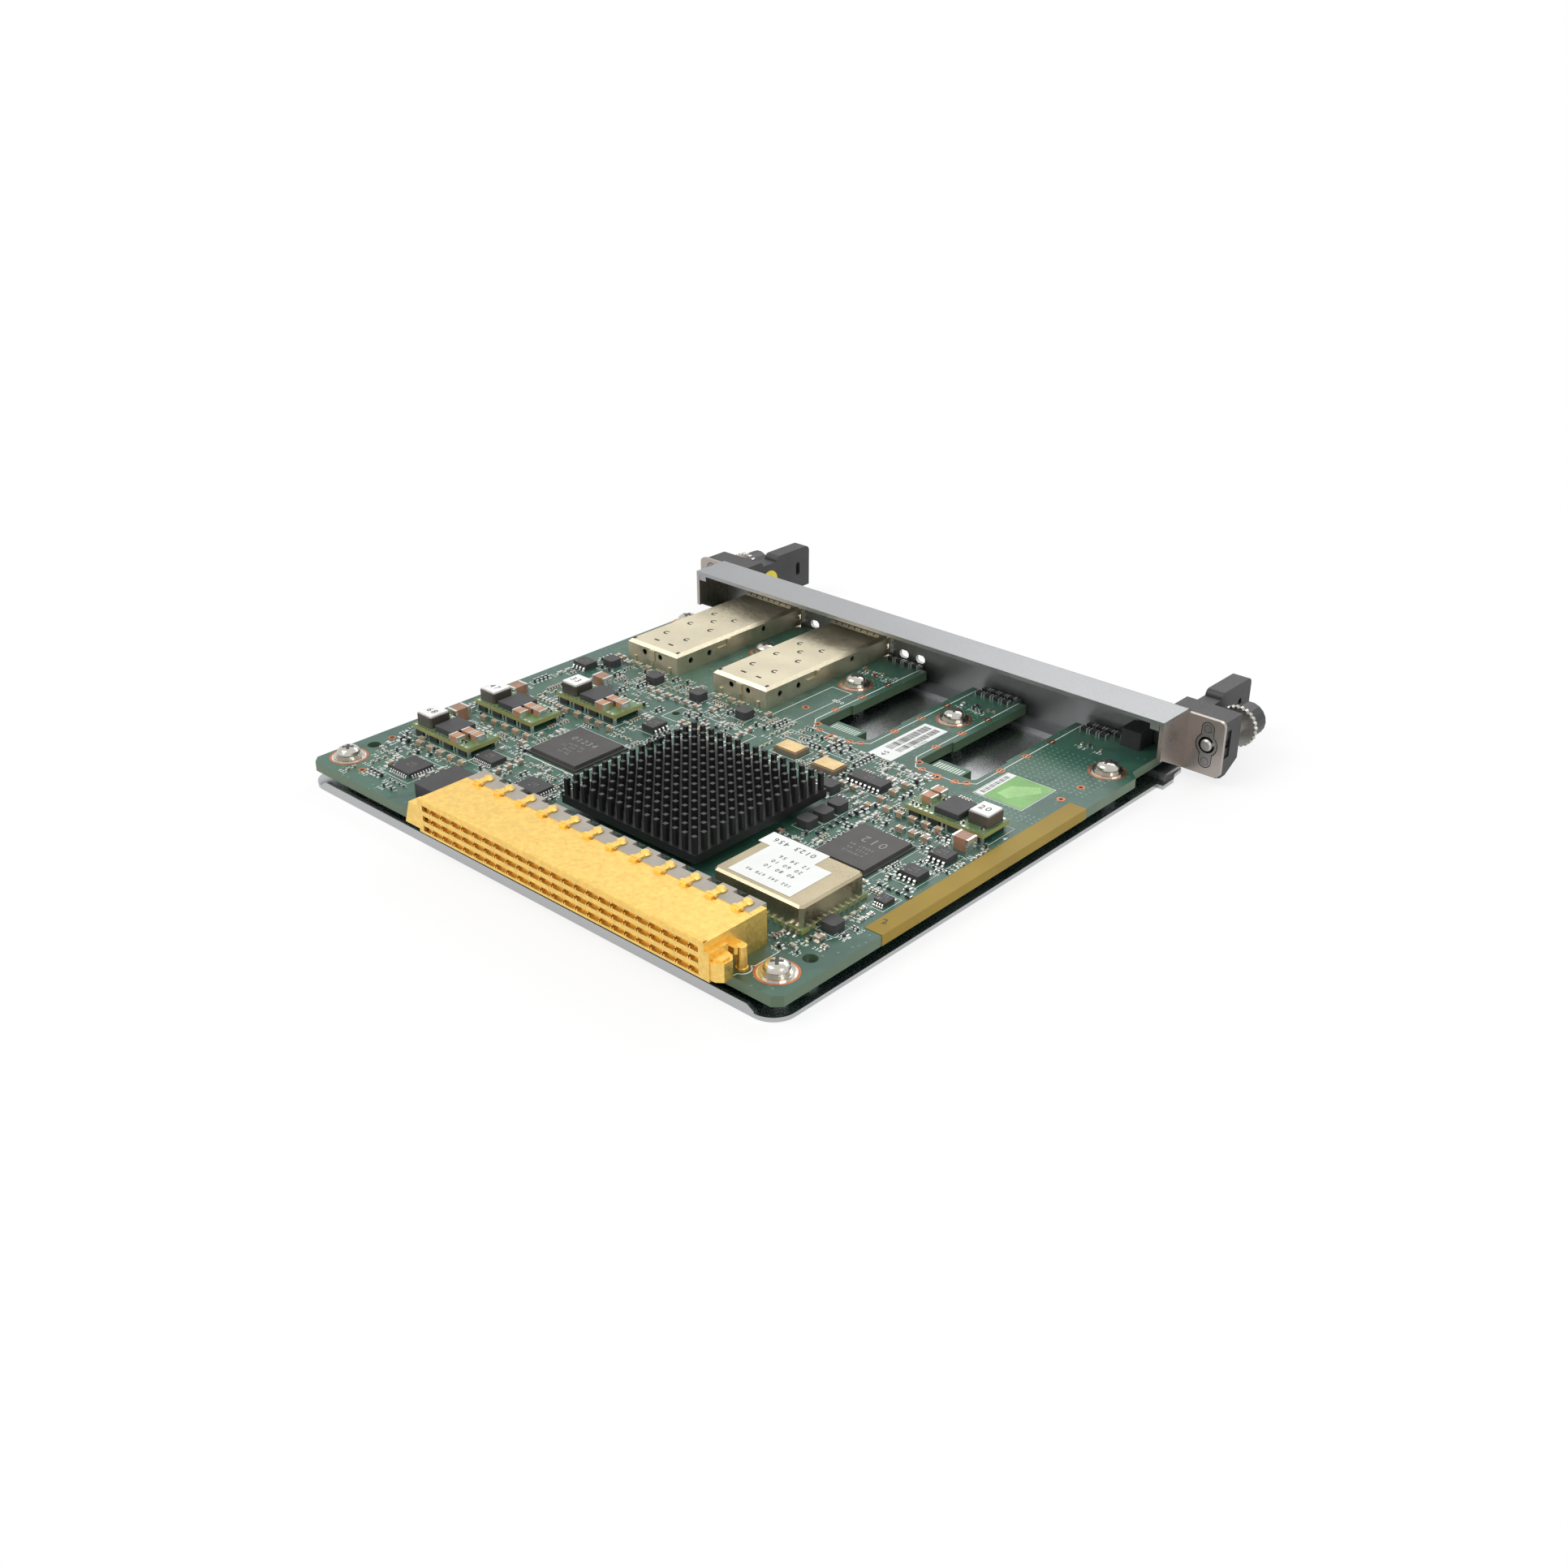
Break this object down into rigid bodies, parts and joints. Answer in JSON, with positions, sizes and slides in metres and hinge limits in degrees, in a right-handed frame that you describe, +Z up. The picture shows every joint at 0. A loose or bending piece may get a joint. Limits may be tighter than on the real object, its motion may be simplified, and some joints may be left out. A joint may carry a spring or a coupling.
{
  "type": "plug-in network interface module",
  "caption": "Low-profile plug-in interface module: circuit board in a sheet tray with port cages, finned cooler, rear plug and captive screws.",
  "frame": {"origin": "middle of the tray's underside, in the plane of the ears' seating faces", "axes": "+Z up off the tray, +Y out of the host towards the handles, -Y the way the module slides in, +X to the right seen from behind the handles"},
  "size_m": [0.1728, 0.177, 0.0174],
  "materials": {
    "tray_steel": "satin, zinc plated",
    "plate_steel": "satin, clear plated",
    "bracket_steel": "brushed, warm tint",
    "retainer_steel": "satin",
    "circuit_board": "solder mask over glass fibre laminate",
    "handle_plastic": "fine moulded texture",
    "knob_metal": "knurled",
    "cage_metal": "bright tinned sheet",
    "black_plastic": "moulded",
    "gold_metal": "gold plated",
    "grey_plastic": "moulded",
    "black_aluminium": "black anodised",
    "can_metal": "drawn and tinned",
    "paper_label": "matt",
    "ceramic_tan": "fired",
    "ferrite_grey": "ferrite",
    "screw_steel": "bright zinc",
    "amber_tape": "polyimide film"
  },
  "bodies": {
    "module": {"backplane_contacts": "gold_metal", "backplane_shell": "gold_metal", "backplane_strip": "grey_plastic", "board_labels": "paper_label", "board_screws": "screw_steel", "board_standoffs": "screw_steel", "board_washers": "screw_steel", "bulk_capacitors": "ceramic_tan", "cage_gasket_left": "gold_metal", "cage_gasket_right": "gold_metal", "can_label": "paper_label", "carrier_tray": "tray_steel", "ceramic_capacitors": "ceramic_tan", "chip_resistors": "black_plastic", "crystals": "gold_metal", "edge_tape": "amber_tape", "faceplate": "plate_steel", "handle_left": "handle_plastic", "handle_right": "handle_plastic", "handle_rivets": "retainer_steel", "heat_sink": "black_aluminium", "lamp_block": "black_plastic", "logic_chip": "black_plastic", "main_board": "circuit_board", "memory_chip": "black_plastic", "oscillator_base": "circuit_board", "oscillator_can": "can_metal", "port_cage_left": "cage_metal", "port_cage_right": "cage_metal", "port_connector_left": "black_plastic", "port_connector_right": "black_plastic", "power_board_1": "circuit_board", "power_board_2": "circuit_board", "power_board_3": "circuit_board", "power_board_4": "circuit_board", "power_board_headers": "black_plastic", "power_capacitors": "ceramic_tan", "power_chip_1": "black_plastic", "power_chip_2": "black_plastic", "power_chip_3": "black_plastic", "power_chip_4": "black_plastic", "power_inductor_1": "ferrite_grey", "power_inductor_2": "ferrite_grey", "power_inductor_3": "ferrite_grey", "power_inductor_4": "ferrite_grey", "processor_chip": "black_plastic", "quad_flat_chip": "black_plastic", "retainer_plate_left": "retainer_steel", "retainer_plate_right": "retainer_steel", "shielded_inductors": "ferrite_grey", "side_block": "black_plastic", "side_bracket_left": "bracket_steel", "side_bracket_right": "bracket_steel", "small_outline_chips": "black_plastic", "thin_outline_chips": "black_plastic"},
    "ring_left": {"retaining_ring_left": "retainer_steel"},
    "screw_left": {"thumbscrew_left": "knob_metal"},
    "ring_right": {"retaining_ring_right": "retainer_steel"},
    "screw_right": {"thumbscrew_right": "knob_metal"}
  },
  "joints": [
    {"name": "screw_float_left", "type": "slide", "parent": "module", "child": "ring_left", "axis": [0, -1, 0], "range_m": [0, 0.0034]},
    {"name": "screw_turn_left", "type": "hinge", "parent": "ring_left", "child": "screw_left", "pos_m": [-0.08125, 0, 0.0096], "axis": [0, 1, 0], "continuous": true},
    {"name": "screw_float_right", "type": "slide", "parent": "module", "child": "ring_right", "axis": [0, -1, 0], "range_m": [0, 0.0034]},
    {"name": "screw_turn_right", "type": "hinge", "parent": "ring_right", "child": "screw_right", "pos_m": [0.08125, 0, 0.0096], "axis": [0, 1, 0], "continuous": true}
  ]
}
